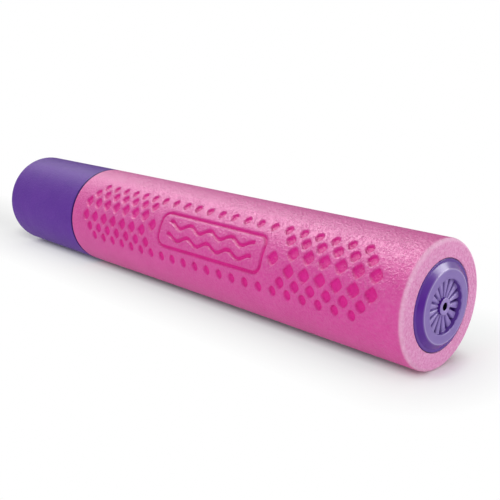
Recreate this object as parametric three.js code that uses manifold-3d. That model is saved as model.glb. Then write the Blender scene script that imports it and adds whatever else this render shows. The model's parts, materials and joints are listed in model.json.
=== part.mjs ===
// Foam water squirter: a pump tube in a pressed foam sleeve, with a ribbed nozzle and a foam-gripped plunger.
// Millimetres. +X runs along the pump towards the nozzle, +Z is up, and the part lies on its side at z = 0.
import * as THREE from 'three';
import { mergeVertices } from 'three/addons/utils/BufferGeometryUtils.js';
import Module from 'manifold-3d';

const wasm = await Module();
wasm.setup();

// Foam sleeve and handle
const SLEEVE_R = 30;
const SLEEVE_LENGTH = 252;
const SLEEVE_EDGE = 2;
const HANDLE_LENGTH = 83;
const HANDLE_FRONT_EDGE = 2;
const HANDLE_REAR_EDGE = 9;
const HANDLE_GAP = 0.6;

// Diamonds pressed into the sleeve, in rows on both sides of a centre line
const PATTERN_ANGLE = 22.5;
const PATTERN_SIDES = 2;
const PRESS_DEPTH = 1;
const DIAMOND_PITCH = 9.55;
const DIAMOND_FLOOR_SHARE = 0.75;
const PATTERN_FRONT_MARGIN = 16.75;
const PATTERN_REAR_MARGIN = 15;
const EMBLEM_FRONT = 72;
const EMBLEM_REAR = 172;
const LONE_DIAMOND_SETBACKS = [75.8, 170.4];
const INNER_ROW = { arc: 4.35, length: 6.8, width: 7.3, skipsEmblem: true };
const MIDDLE_ROW = { arc: 10.6, length: 5.6, width: 5.9, skipsEmblem: true };
const OUTER_ROW = { arc: 15.9, length: 4.4, width: 5.3, skipsEmblem: false };

// Pump tube, clearances and round-part facets
const TUBE_R = 21;
const TUBE_WALL = 2.4;
const CLEAR = 0.3;
const RUN_CLEAR = 0.35;
const SIDES = 40;
const INNER_SIDES = 24;
const RING_SECTION_SIDES = 6;
const EDGE_STEPS = 4;

// Nozzle
const NOZZLE_PROUD = 2.2;
const NOZZLE_RIM_T = 2.4;
const NOZZLE_RIM_WIDTH = 1.4;
const NOZZLE_FACE_R = 16.8;
const RECESS_R = 12.4;
const RECESS_DEPTH = 6.5;
const HUB_R = 3.9;
const HUB_SETBACK = 0.6;
const ORIFICE_R = 1.8;
const FIN_COUNT = 16;
const FIN_INNER_T = 0.9;
const FIN_OUTER_T = 4;
const FIN_SETBACK = 2;
const FIN_RISE = 0.4;
const FIN_ROOT = 0.5;
const NOZZLE_FLOOR_T = 2.6;
const FUNNEL_SLOPE = 1 / 3;
const NOZZLE_SKIRT_LENGTH = 18;
const NOZZLE_SKIRT_WALL = 4.2;

// Rubber rings
const RING_SECTION_R = 1;
const RING_GROOVE_SETBACK = 10;

// Rear bush and its bumper
const BUSH_INSET = 0.5;
const BUSH_FLANGE_T = 2.4;
const BUSH_PLUG_LENGTH = 13;
const VENT_COUNT = 6;
const VENT_R = 1.1;
const VENT_SIDES = 12;
const BUMPER_T = 3;
const BUMPER_WIDTH = 3.4;

// Piston and the screw it turns on
const PISTON_LENGTH = 23;
const PISTON_REST_GAP = 0.6;
const PISTON_RING_SETBACK = 5.5;
const PISTON_RING_SPACING = 10;
const SCREW_POCKET_R = 8.3;
const SCREW_POCKET_DEPTH = 6.4;
const PISTON_WEB_T = 7;
const SCREW_HEAD_R = 6.6;
const SCREW_HEAD_T = 3.6;
const SCREW_HEAD_EDGE = 1;
const SCREW_SHANK_R = 3.8;
const SCREW_THREAD_R = 3.1;
const SCREW_THREAD_LENGTH = 14;
const SOCKET_R = 3.2;
const SOCKET_DEPTH = 2.2;
const SOCKET_SIDES = 6;
const WASHER_R = 7.8;
const WASHER_T = 1.3;

// Plunger rod and its front plug
const ROD_R = 11;
const ROD_WALL = 1.8;
const PLUG_FLANGE_T = 3;
const PLUG_LENGTH = 24;

// Handle core, end cap and cross pin
const CORE_WALL = 3.7;
const CORE_FLANGE_LAP = 0.4;
const CORE_FLANGE_T = 3;
const CORE_INSET = 0.5;
const END_CAP_R = 20;
const END_CAP_T = 3;
const END_CAP_STEM_LENGTH = 16;
const PIN_R = 2;
const PIN_SETBACK = 40;
const PIN_SINK = 0.6;

// Stations along the pump
const OVERALL = HANDLE_LENGTH + HANDLE_GAP + SLEEVE_LENGTH + NOZZLE_PROUD;
const NOZZLE_FACE_X = OVERALL / 2;
const SLEEVE_FRONT_X = NOZZLE_FACE_X - NOZZLE_PROUD;
const SLEEVE_REAR_X = SLEEVE_FRONT_X - SLEEVE_LENGTH;
const HANDLE_FRONT_X = SLEEVE_REAR_X - HANDLE_GAP;
const HANDLE_REAR_X = HANDLE_FRONT_X - HANDLE_LENGTH;
const RIM_BACK_X = SLEEVE_FRONT_X - NOZZLE_RIM_T;
const TUBE_FRONT_X = RIM_BACK_X - CLEAR;
const BUSH_REAR_X = SLEEVE_REAR_X + BUSH_INSET;
const TUBE_REAR_X = BUSH_REAR_X + BUSH_FLANGE_T + CLEAR;
const BUSH_FRONT_X = BUSH_REAR_X + BUSH_FLANGE_T + BUSH_PLUG_LENGTH;
const SKIRT_END_X = RIM_BACK_X - NOZZLE_SKIRT_LENGTH;
const PISTON_FRONT_X = SKIRT_END_X - PISTON_REST_GAP;
const POCKET_FLOOR_X = PISTON_FRONT_X - SCREW_POCKET_DEPTH;
const WEB_REAR_X = POCKET_FLOOR_X - PISTON_WEB_T;
const PISTON_REAR_X = PISTON_FRONT_X - PISTON_LENGTH;
const WASHER_FRONT_X = POCKET_FLOOR_X + CLEAR + WASHER_T;
const HEAD_BACK_X = WASHER_FRONT_X + CLEAR;
const PLUG_FRONT_X = WEB_REAR_X - CLEAR;
const ROD_FRONT_X = PLUG_FRONT_X - PLUG_FLANGE_T - CLEAR;
const CORE_FRONT_X = HANDLE_FRONT_X - CORE_INSET;
const CAP_FRONT_X = HANDLE_REAR_X + END_CAP_T;
const CORE_REAR_X = CAP_FRONT_X + CLEAR;
const PIN_X = HANDLE_FRONT_X - PIN_SETBACK;

// Radii that follow from a neighbour
const HANDLE_R = SLEEVE_R;
const AXIS_Z = SLEEVE_R * Math.cos(Math.PI / SIDES);
const TUBE_BORE_R = TUBE_R - TUBE_WALL;
const SLEEVE_BORE_R = TUBE_R + CLEAR;
const PLUG_FIT_R = TUBE_BORE_R - CLEAR;
const RING_CENTRE_R = TUBE_BORE_R - RUN_CLEAR - RING_SECTION_R;
const GROOVE_R = RING_CENTRE_R - RING_SECTION_R - CLEAR;
const GROOVE_HALF = RING_SECTION_R + CLEAR;
const PISTON_R = TUBE_BORE_R - RUN_CLEAR;
const ROD_BORE_R = ROD_R - ROD_WALL;
const ROD_PLUG_R = ROD_BORE_R - CLEAR;
const CORE_R = ROD_R + CLEAR + CORE_WALL;
const CORE_FLANGE_R = TUBE_R + CORE_FLANGE_LAP;
const VENT_CIRCLE_R = (ROD_R + RUN_CLEAR + BUMPER_WIDTH + PLUG_FIT_R) / 2;

const pinkFoam = { color: 0xd774b0, roughness: 0.9 };
const purpleFoam = { color: 0x6d4798, roughness: 0.6 };
const purplePlastic = { color: 0x59369a, roughness: 0.25 };
const whitePlastic = { color: 0xf1f1ee, roughness: 0.35 };
const greyPlastic = { color: 0xc9cacc, roughness: 0.5 };
const blackRubber = { color: 0x1b1b1d, roughness: 0.8 };
const steel = { color: 0xb9bdc2, roughness: 0.3, metalness: 1 };

const squirter = new THREE.Group();
const pump = new THREE.Group();
pump.position.z = AXIS_Z;
squirter.add(pump);

// A closed three.js geometry as a boolean solid, with its shared points merged.
function solidFrom(geometry) {
  const bare = geometry.clone();
  bare.deleteAttribute('normal');
  bare.deleteAttribute('uv');
  const welded = mergeVertices(bare, 1e-5);
  const corners = welded.index.array;
  const triangles = [];
  for (let i = 0; i < corners.length; i += 3) {
    const [a, b, c] = [corners[i], corners[i + 1], corners[i + 2]];
    if (a !== b && b !== c && c !== a) triangles.push(a, b, c);
  }
  return new wasm.Manifold(new wasm.Mesh({
    numProp: 3,
    vertProperties: new Float32Array(welded.attributes.position.array),
    triVerts: new Uint32Array(triangles),
  }));
}

function addPiece(name, solid, look) {
  const { vertProperties, triVerts } = solid.getMesh();
  const geometry = new THREE.BufferGeometry();
  geometry.setAttribute('position', new THREE.BufferAttribute(vertProperties, 3));
  geometry.setIndex(new THREE.BufferAttribute(triVerts, 1));
  geometry.computeVertexNormals();
  const mesh = new THREE.Mesh(geometry, new THREE.MeshStandardMaterial(look));
  mesh.name = name;
  pump.add(mesh);
}

// A solid of revolution about the pump's axis from [radius, station] corners, with a flat underneath.
function revolve(corners, sides = SIDES) {
  const outline = corners.map(([radius, station]) => new THREE.Vector2(radius, station));
  if (THREE.ShapeUtils.area(outline) < 0) outline.reverse();
  outline.push(outline[0].clone());
  const lathe = new THREE.LatheGeometry(outline, sides, Math.PI / sides);
  lathe.rotateZ(-Math.PI / 2);
  return solidFrom(lathe);
}

// Corners of a rounded edge, from one angle to the other, in quarter-turn style.
function roundedEdge(radius, centreRadius, centreStation, fromAngle, toAngle) {
  const corners = [];
  for (let i = 0; i <= EDGE_STEPS; i += 1) {
    const angle = THREE.MathUtils.degToRad(THREE.MathUtils.lerp(fromAngle, toAngle, i / EDGE_STEPS));
    corners.push([centreRadius + radius * Math.cos(angle), centreStation + radius * Math.sin(angle)]);
  }
  return corners;
}

function ringAt(station) {
  const torus = new THREE.TorusGeometry(RING_CENTRE_R, RING_SECTION_R, RING_SECTION_SIDES, INNER_SIDES);
  torus.rotateY(Math.PI / 2);
  torus.translate(station, 0, 0);
  return solidFrom(torus);
}

// Outline corners of a ring groove cut into an outside radius, walked towards the rear.
function grooveCorners(outsideRadius, station) {
  return [
    [outsideRadius, station + GROOVE_HALF],
    [GROOVE_R, station + GROOVE_HALF],
    [GROOVE_R, station - GROOVE_HALF],
    [outsideRadius, station - GROOVE_HALF],
  ];
}

function crossHole(radius, station) {
  const hole = new THREE.CylinderGeometry(radius, radius, 2 * HANDLE_R, INNER_SIDES);
  hole.translate(station, 0, 0);
  return solidFrom(hole);
}

// One pressed diamond: a tapered pit bent round the sleeve, at an arc distance from the centre line.
function diamondPit(row, setback, arc, sideAngle) {
  const outline = new THREE.Shape([
    new THREE.Vector2(row.length / 2, 0),
    new THREE.Vector2(0, row.width / 2),
    new THREE.Vector2(-row.length / 2, 0),
    new THREE.Vector2(0, -row.width / 2),
  ]);
  const pit = new THREE.ExtrudeGeometry(outline, { depth: 1, bevelEnabled: false });
  const points = pit.attributes.position;
  for (let i = 0; i < points.count; i += 1) {
    const rise = points.getZ(i);
    const share = THREE.MathUtils.lerp(DIAMOND_FLOOR_SHARE, 1, rise);
    const angle = sideAngle + (arc + share * points.getY(i)) / SLEEVE_R;
    const radius = SLEEVE_R + THREE.MathUtils.lerp(-PRESS_DEPTH, CLEAR, rise);
    const station = SLEEVE_FRONT_X - setback + share * points.getX(i);
    points.setXYZ(i, station, -radius * Math.cos(angle), radius * Math.sin(angle));
  }
  return solidFrom(pit);
}

function pressedPattern() {
  const pits = [];
  const halfPitch = DIAMOND_PITCH / 2;
  for (let side = 0; side < PATTERN_SIDES; side += 1) {
    const sideAngle = THREE.MathUtils.degToRad(PATTERN_ANGLE + (360 * side) / PATTERN_SIDES);
    for (const setback of LONE_DIAMOND_SETBACKS) pits.push(diamondPit(INNER_ROW, setback, 0, sideAngle));
    [INNER_ROW, MIDDLE_ROW, OUTER_ROW].forEach((row, rank) => {
      const last = SLEEVE_LENGTH - PATTERN_REAR_MARGIN - rank * halfPitch;
      const first = PATTERN_FRONT_MARGIN + rank * halfPitch;
      for (let setback = first; setback <= last; setback += DIAMOND_PITCH) {
        if (row.skipsEmblem && setback > EMBLEM_FRONT && setback < EMBLEM_REAR) continue;
        pits.push(diamondPit(row, setback, row.arc, sideAngle));
        pits.push(diamondPit(row, setback, -row.arc, sideAngle));
      }
    });
  }
  return wasm.Manifold.union(pits);
}

function foamSleeve() {
  const blank = revolve([
    [SLEEVE_BORE_R, SLEEVE_REAR_X],
    ...roundedEdge(SLEEVE_EDGE, SLEEVE_R - SLEEVE_EDGE, SLEEVE_REAR_X + SLEEVE_EDGE, -90, 0),
    ...roundedEdge(SLEEVE_EDGE, SLEEVE_R - SLEEVE_EDGE, SLEEVE_FRONT_X - SLEEVE_EDGE, 0, 90),
    [SLEEVE_BORE_R, SLEEVE_FRONT_X],
  ]);
  return blank.subtract(pressedPattern());
}

function barrelTube() {
  return revolve([
    [TUBE_BORE_R, TUBE_REAR_X],
    [TUBE_R, TUBE_REAR_X],
    [TUBE_R, TUBE_FRONT_X],
    [TUBE_BORE_R, TUBE_FRONT_X],
  ]);
}

// A wedge between the hub and the recess wall, thicker outwards, so that a narrow slot is left beside it.
function nozzleFin(index) {
  const floor = NOZZLE_FACE_X - RECESS_DEPTH;
  const front = NOZZLE_FACE_X - FIN_SETBACK;
  const inner = HUB_R - FIN_ROOT;
  const outer = RECESS_R + FIN_ROOT;
  const outline = new THREE.Shape([
    new THREE.Vector2(floor - FIN_ROOT, inner),
    new THREE.Vector2(front + FIN_RISE, inner),
    new THREE.Vector2(front, outer),
    new THREE.Vector2(floor - FIN_ROOT, outer),
  ]);
  const wedge = new THREE.ExtrudeGeometry(outline, { depth: 1, bevelEnabled: false });
  const points = wedge.attributes.position;
  for (let i = 0; i < points.count; i += 1) {
    const thickness = THREE.MathUtils.mapLinear(points.getY(i), inner, outer, FIN_INNER_T, FIN_OUTER_T);
    points.setZ(i, thickness * (points.getZ(i) - 0.5));
  }
  wedge.rotateX((2 * Math.PI * index) / FIN_COUNT);
  return solidFrom(wedge);
}

function nozzle() {
  const floor = NOZZLE_FACE_X - RECESS_DEPTH;
  const chamberR = PLUG_FIT_R - NOZZLE_SKIRT_WALL;
  const funnelRise = chamberR - ORIFICE_R;
  const chamberFront = floor - NOZZLE_FLOOR_T;
  const body = revolve([
    [ORIFICE_R, NOZZLE_FACE_X - HUB_SETBACK],
    [HUB_R, NOZZLE_FACE_X - HUB_SETBACK],
    [HUB_R, floor],
    [RECESS_R, floor],
    [RECESS_R, NOZZLE_FACE_X],
    [NOZZLE_FACE_R, NOZZLE_FACE_X],
    [TUBE_R - NOZZLE_RIM_WIDTH, SLEEVE_FRONT_X],
    [TUBE_R, SLEEVE_FRONT_X],
    [TUBE_R, RIM_BACK_X],
    [PLUG_FIT_R, RIM_BACK_X],
    ...grooveCorners(PLUG_FIT_R, RIM_BACK_X - RING_GROOVE_SETBACK),
    [PLUG_FIT_R, SKIRT_END_X],
    [chamberR, SKIRT_END_X],
    [chamberR, Math.max(chamberFront - funnelRise * FUNNEL_SLOPE, SKIRT_END_X + CLEAR)],
    [ORIFICE_R, chamberFront],
  ]);
  const fins = Array.from({ length: FIN_COUNT }, (_, index) => nozzleFin(index));
  return wasm.Manifold.union([body, ...fins]);
}

function rearBush() {
  const bush = revolve([
    [ROD_R + RUN_CLEAR, BUSH_REAR_X],
    [TUBE_R, BUSH_REAR_X],
    [TUBE_R, BUSH_REAR_X + BUSH_FLANGE_T],
    [PLUG_FIT_R, BUSH_REAR_X + BUSH_FLANGE_T],
    [PLUG_FIT_R, BUSH_FRONT_X],
    [ROD_R + RUN_CLEAR, BUSH_FRONT_X],
  ], INNER_SIDES);
  const length = BUSH_FRONT_X - BUSH_REAR_X;
  const vents = Array.from({ length: VENT_COUNT }, (_, index) => {
    const vent = new THREE.CylinderGeometry(VENT_R, VENT_R, length + 2 * CLEAR, VENT_SIDES);
    vent.rotateZ(Math.PI / 2);
    vent.translate(BUSH_REAR_X + length / 2, VENT_CIRCLE_R, 0);
    vent.rotateX((2 * Math.PI * index) / VENT_COUNT);
    return solidFrom(vent);
  });
  return bush.subtract(wasm.Manifold.union(vents));
}

function bushBumper() {
  const bore = ROD_R + RUN_CLEAR;
  return revolve([
    [bore, BUSH_FRONT_X + CLEAR],
    [bore + BUMPER_WIDTH, BUSH_FRONT_X + CLEAR],
    [bore + BUMPER_WIDTH, BUSH_FRONT_X + CLEAR + BUMPER_T],
    [bore, BUSH_FRONT_X + CLEAR + BUMPER_T],
  ], INNER_SIDES);
}

function pistonHead() {
  const frontRing = PISTON_FRONT_X - PISTON_RING_SETBACK;
  const shankHole = SCREW_SHANK_R + RUN_CLEAR;
  const rodPocket = ROD_R + RUN_CLEAR;
  return revolve([
    [SCREW_POCKET_R, PISTON_FRONT_X],
    [PISTON_R, PISTON_FRONT_X],
    ...grooveCorners(PISTON_R, frontRing),
    ...grooveCorners(PISTON_R, frontRing - PISTON_RING_SPACING),
    [PISTON_R, PISTON_REAR_X],
    [rodPocket, PISTON_REAR_X],
    [rodPocket, WEB_REAR_X],
    [shankHole, WEB_REAR_X],
    [shankHole, POCKET_FLOOR_X],
    [SCREW_POCKET_R, POCKET_FLOOR_X],
  ], INNER_SIDES);
}

function pistonScrew() {
  const headFront = HEAD_BACK_X + SCREW_HEAD_T;
  const body = revolve([
    [0, headFront],
    [SCREW_HEAD_R - SCREW_HEAD_EDGE, headFront],
    [SCREW_HEAD_R, headFront - SCREW_HEAD_EDGE],
    [SCREW_HEAD_R, HEAD_BACK_X],
    [SCREW_SHANK_R, HEAD_BACK_X],
    [SCREW_SHANK_R, PLUG_FRONT_X + CLEAR],
    [SCREW_THREAD_R, PLUG_FRONT_X + CLEAR],
    [SCREW_THREAD_R, PLUG_FRONT_X - SCREW_THREAD_LENGTH],
    [0, PLUG_FRONT_X - SCREW_THREAD_LENGTH],
  ], INNER_SIDES);
  const socket = new THREE.CylinderGeometry(SOCKET_R, SOCKET_R, 2 * SOCKET_DEPTH, SOCKET_SIDES);
  socket.rotateZ(Math.PI / 2);
  socket.translate(headFront, 0, 0);
  return body.subtract(solidFrom(socket));
}

function screwWasher() {
  const bore = SCREW_SHANK_R + CLEAR;
  return revolve([
    [bore, POCKET_FLOOR_X + CLEAR],
    [WASHER_R, POCKET_FLOOR_X + CLEAR],
    [WASHER_R, WASHER_FRONT_X],
    [bore, WASHER_FRONT_X],
  ], INNER_SIDES);
}

function rodFrontPlug() {
  const bore = SCREW_THREAD_R + CLEAR;
  return revolve([
    [bore, PLUG_FRONT_X],
    [ROD_R, PLUG_FRONT_X],
    [ROD_R, PLUG_FRONT_X - PLUG_FLANGE_T],
    [ROD_PLUG_R, PLUG_FRONT_X - PLUG_FLANGE_T],
    [ROD_PLUG_R, PLUG_FRONT_X - PLUG_LENGTH],
    [bore, PLUG_FRONT_X - PLUG_LENGTH],
  ], INNER_SIDES);
}

function plungerRod() {
  const tube = revolve([
    [ROD_BORE_R, CORE_REAR_X],
    [ROD_R, CORE_REAR_X],
    [ROD_R, ROD_FRONT_X],
    [ROD_BORE_R, ROD_FRONT_X],
  ]);
  return tube.subtract(crossHole(PIN_R + CLEAR, PIN_X));
}

function handleCore() {
  const bore = ROD_R + CLEAR;
  const core = revolve([
    [bore, CORE_FRONT_X],
    [CORE_FLANGE_R, CORE_FRONT_X],
    [CORE_FLANGE_R, CORE_FRONT_X - CORE_FLANGE_T],
    [CORE_R, CORE_FRONT_X - CORE_FLANGE_T],
    [CORE_R, CORE_REAR_X],
    [bore, CORE_REAR_X],
  ]);
  return core.subtract(crossHole(PIN_R + CLEAR, PIN_X));
}

function handlePin() {
  const pin = new THREE.CylinderGeometry(PIN_R, PIN_R, 2 * (CORE_R - PIN_SINK), INNER_SIDES);
  pin.translate(PIN_X, 0, 0);
  return solidFrom(pin);
}

function handleEndCap() {
  return revolve([
    [0, HANDLE_REAR_X],
    [END_CAP_R, HANDLE_REAR_X],
    [END_CAP_R, CAP_FRONT_X],
    [ROD_PLUG_R, CAP_FRONT_X],
    [ROD_PLUG_R, CAP_FRONT_X + END_CAP_STEM_LENGTH],
    [0, CAP_FRONT_X + END_CAP_STEM_LENGTH],
  ]);
}

function handleGrip() {
  const flangeFloor = CORE_FRONT_X - CORE_FLANGE_T - CLEAR;
  const frontEdgeX = HANDLE_FRONT_X - HANDLE_FRONT_EDGE;
  const rearEdgeX = HANDLE_REAR_X + HANDLE_REAR_EDGE;
  return revolve([
    [CORE_FLANGE_R + CLEAR, HANDLE_FRONT_X],
    ...roundedEdge(HANDLE_FRONT_EDGE, HANDLE_R - HANDLE_FRONT_EDGE, frontEdgeX, 90, 0),
    ...roundedEdge(HANDLE_REAR_EDGE, HANDLE_R - HANDLE_REAR_EDGE, rearEdgeX, 0, -90),
    [END_CAP_R + CLEAR, HANDLE_REAR_X],
    [END_CAP_R + CLEAR, CAP_FRONT_X + CLEAR],
    [CORE_R + CLEAR, CAP_FRONT_X + CLEAR],
    [CORE_R + CLEAR, flangeFloor],
    [CORE_FLANGE_R + CLEAR, flangeFloor],
  ]);
}

addPiece('foam_sleeve', foamSleeve(), pinkFoam);
addPiece('barrel_tube', barrelTube(), whitePlastic);
addPiece('nozzle', nozzle(), purplePlastic);
addPiece('nozzle_ring', ringAt(RIM_BACK_X - RING_GROOVE_SETBACK), blackRubber);
addPiece('rear_bush', rearBush(), whitePlastic);
addPiece('bush_bumper', bushBumper(), blackRubber);

addPiece('piston_head', pistonHead(), greyPlastic);
addPiece('piston_ring_front', ringAt(PISTON_FRONT_X - PISTON_RING_SETBACK), blackRubber);
addPiece('piston_ring_rear', ringAt(PISTON_FRONT_X - PISTON_RING_SETBACK - PISTON_RING_SPACING), blackRubber);

addPiece('piston_screw', pistonScrew(), steel);
addPiece('screw_washer', screwWasher(), blackRubber);
addPiece('rod_front_plug', rodFrontPlug(), greyPlastic);
addPiece('plunger_rod', plungerRod(), whitePlastic);
addPiece('handle_core', handleCore(), purplePlastic);
addPiece('handle_pin', handlePin(), steel);
addPiece('handle_grip', handleGrip(), purpleFoam);
addPiece('handle_end_cap', handleEndCap(), purplePlastic);

export default squirter;
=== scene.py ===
# %% [markdown]
# # Foam water squirter
# A hand pump for squirting water lies on its side. A pink foam sleeve wraps the pump's tube, a purple
# nozzle closes the front end, and a purple foam handle sits on the plunger at the rear. The solids come
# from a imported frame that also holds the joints. This lesson dresses that frame: fine meshes for the foam,
# the nozzle and the plunger, a procedural finish for every surface, then floor, light and camera.

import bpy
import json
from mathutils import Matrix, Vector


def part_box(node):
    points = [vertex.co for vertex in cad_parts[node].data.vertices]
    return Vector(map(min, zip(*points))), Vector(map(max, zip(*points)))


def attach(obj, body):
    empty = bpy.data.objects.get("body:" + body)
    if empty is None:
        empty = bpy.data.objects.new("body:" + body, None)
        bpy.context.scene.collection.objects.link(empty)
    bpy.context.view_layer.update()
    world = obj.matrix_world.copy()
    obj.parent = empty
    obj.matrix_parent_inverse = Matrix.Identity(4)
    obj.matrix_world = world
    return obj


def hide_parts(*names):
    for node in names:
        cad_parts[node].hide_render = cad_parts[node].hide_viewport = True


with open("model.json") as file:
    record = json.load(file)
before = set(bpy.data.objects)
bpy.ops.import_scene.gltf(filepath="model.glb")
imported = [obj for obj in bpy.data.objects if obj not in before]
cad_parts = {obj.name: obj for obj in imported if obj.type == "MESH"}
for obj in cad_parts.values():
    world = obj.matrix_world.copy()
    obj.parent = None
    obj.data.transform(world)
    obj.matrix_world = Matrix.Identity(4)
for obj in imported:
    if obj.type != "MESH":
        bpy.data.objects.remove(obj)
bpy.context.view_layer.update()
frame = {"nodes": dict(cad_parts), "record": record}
print("solids:", sorted(frame["nodes"]))

# %% [markdown]
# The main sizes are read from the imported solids, so the dressing follows if one of them changes. Details
# that a box doesn't show are written down where they are needed. The pump is round, so most places are a
# station along X and a radius from the axis. Sizes are in metres, written as millimetres times MM. An angle
# is counted up from the near side of the pump, the side at -Y.

# %% Read the main sizes from the solids
import json
import math

import bmesh
import bpy
import numpy as np
from mathutils import Vector

MM = 0.001
GAP = 0.3 * MM
sleeve_low, sleeve_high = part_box("foam_sleeve")
tube_low, tube_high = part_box("barrel_tube")
AXIS_Z = (sleeve_low.z + sleeve_high.z) / 2
FOAM_R = (sleeve_high.z - sleeve_low.z) / 2
TUBE_R = (tube_high.z - tube_low.z) / 2
SLEEVE_FRONT = sleeve_high.x
SLEEVE_REAR = sleeve_low.x
SLEEVE_LENGTH = SLEEVE_FRONT - SLEEVE_REAR
print(f"sleeve {SLEEVE_LENGTH / MM:.1f} mm long, foam radius {FOAM_R / MM:.2f} mm")

# %% [markdown]
# A turned piece starts from an outline: a closed loop of corners, each with a station, a radius and a fillet.
# A real moulded or cut edge is never sharp, and its rounding is what catches the light. A bevel modifier
# could round the finished mesh, but here every corner gets a size of its own. A weighted curve through the
# corner gives a true arc. Long stretches are then split, so that there are points to move.

# %% Outline helpers
SIDE_SHARE = 0.49


def rounded_loop(corners, steps=6):
    """A closed outline from (station, radius, fillet) corners, each rounded by an arc."""
    points = []
    for i, (station, radius, fillet) in enumerate(corners):
        here = np.array((station, radius))
        before = np.array(corners[i - 1][:2]) - here
        after = np.array(corners[(i + 1) % len(corners)][:2]) - here
        room = SIDE_SHARE * min(np.linalg.norm(before), np.linalg.norm(after))
        before /= np.linalg.norm(before)
        after /= np.linalg.norm(after)
        half_angle = math.acos(np.clip(before @ after, -1, 1)) / 2
        reach = min(fillet / math.tan(half_angle), room)
        if reach <= 0:
            points.append(here)
            continue
        weight = math.sin(half_angle)
        for t in np.linspace(0, 1, steps + 1):
            shares = np.array(((1 - t) ** 2, 2 * weight * t * (1 - t), t ** 2))
            arc = shares @ np.array((here + reach * before, here, here + reach * after))
            points.append(arc / shares.sum())
    return np.array(points)


def spaced(loop, step_at):
    """The closed outline with points added, so that no stretch is longer than step_at(radius)."""
    points = []
    for here, there in zip(loop, np.roll(loop, -1, axis=0)):
        pieces = max(1, math.ceil(np.linalg.norm(there - here) / step_at((here[1] + there[1]) / 2)))
        points.extend(here + (there - here) * k / pieces for k in range(pieces))
    return np.array(points)


square = [(0.0, 1.0, 0.2), (0.0, 2.0, 0.2), (1.0, 2.0, 0.2), (1.0, 1.0, 0.2)]
print("a square outline with rounded corners has", len(rounded_loop(square)), "points")

# %% [markdown]
# The outline is then turned about the pump's axis into rings of quads. The screw modifier does that too, but
# with the points in arrays a shaping function can move them first. That is how the pressed diamonds and the
# nozzle's fins become real geometry and not bump. A second function puts marks on the points, numbers from
# 0 to 1 that the materials read later. Points that fall together on the axis are welded at the end.

# %% Turning helper
WELD_DISTANCE = 1e-7


def turned(name, loop, angles, shape=None, marking=None):
    """A closed mesh of the outline turned about the pump's axis, shaped and marked point by point."""
    station, turn = np.meshgrid(loop[:, 0], angles, indexing="ij")
    radius = np.repeat(loop[:, 1:2], len(angles), axis=1)
    marks = marking(station, radius, turn) if marking else {}
    if shape:
        station, radius = shape(station, radius, turn)
    points = np.stack((station, -radius * np.cos(turn), AXIS_Z + radius * np.sin(turn)), axis=-1)
    index = np.arange(station.size).reshape(station.shape)
    along = np.roll(index, -1, axis=0)
    quads = np.stack((index, np.roll(index, -1, axis=1), np.roll(along, -1, axis=1), along), axis=-1)
    mesh = bpy.data.meshes.new(name)
    mesh.from_pydata(points.reshape(-1, 3).tolist(), [], quads.reshape(-1, 4).tolist())
    for mark_name, values in marks.items():
        mesh.attributes.new(mark_name, "FLOAT", "POINT").data.foreach_set("value", values.ravel())
    shell = bmesh.new()
    shell.from_mesh(mesh)
    bmesh.ops.remove_doubles(shell, verts=shell.verts, dist=WELD_DISTANCE)
    bmesh.ops.recalc_face_normals(shell, faces=shell.faces)
    shell.to_mesh(mesh)
    shell.free()
    mesh.shade_smooth()
    piece = bpy.data.objects.new(name, mesh)
    bpy.context.scene.collection.objects.link(piece)
    print(f"{name}: {len(mesh.polygons)} faces")
    return piece


print(f"points closer than {WELD_DISTANCE / MM:.4f} mm will be welded")

# %% [markdown]
# The sleeve carries rows of diamonds that a hot die pressed into the foam. They sit on both sides of a
# centre line, in three rows that shrink outwards and step back by half a pitch. The two inner rows stop
# where the sign goes, and a lone diamond stands before and after it. A boolean could cut the diamonds, but
# a pressed pit has melted edges and corners, so the sleeve's own points are moved instead: each diamond is
# a distance, and depth is a smooth step of it. A setback is a distance from the sleeve's front end.

# %% Lay out the diamonds
PATTERN_ANGLES = [math.radians(22.5), math.radians(202.5)]
DIAMOND_PITCH = 9.55 * MM
FRONT_MARGIN = 16.75 * MM
REAR_MARGIN = 15 * MM
SIGN_FRONT = 72 * MM
SIGN_REAR = 172 * MM
LONE_SETBACKS = [75.8 * MM, 170.4 * MM]
ROWS = [
    {"arc": 4.35 * MM, "length": 6.8 * MM, "width": 7.3 * MM, "power": 1.35, "skips_sign": True},
    {"arc": 10.6 * MM, "length": 5.6 * MM, "width": 5.9 * MM, "power": 1.5, "skips_sign": True},
    {"arc": 15.9 * MM, "length": 4.4 * MM, "width": 5.3 * MM, "power": 1.75, "skips_sign": False},
]

diamonds = [(setback, 0.0, ROWS[0]) for setback in LONE_SETBACKS]
for rank, row in enumerate(ROWS):
    first = FRONT_MARGIN + rank * DIAMOND_PITCH / 2
    last = SLEEVE_LENGTH - REAR_MARGIN - rank * DIAMOND_PITCH / 2
    for setback in np.arange(first, last, DIAMOND_PITCH):
        if row["skips_sign"] and SIGN_FRONT < setback < SIGN_REAR:
            continue
        diamonds.append((setback, row["arc"], row))
        diamonds.append((setback, -row["arc"], row))
print(len(diamonds), "diamonds on each side of the sleeve")

# %% [markdown]
# A diamond's distance is a power mean of its two half sizes. A power of 1 would give straight sides and
# sharp corners, and a power a little over 1 rounds the corners and bows the sides, as in melted foam. The
# distance is counted from the edge, so it is negative inside the pit.

# %% Distance to the nearest diamond
FAR_OFF = 1.0


def diamond_distance(setback, arc):
    nearest = np.full(setback.shape, FAR_OFF)
    for centre_setback, centre_arc, row in diamonds:
        half_length, half_width = row["length"] / 2, row["width"] / 2
        across = (np.abs(setback - centre_setback) / half_length) ** row["power"]
        around = (np.abs(arc - centre_arc) / half_width) ** row["power"]
        scale = half_length * half_width / math.hypot(half_length, half_width)
        nearest = np.minimum(nearest, ((across + around) ** (1 / row["power"]) - 1) * scale)
    return nearest


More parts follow.
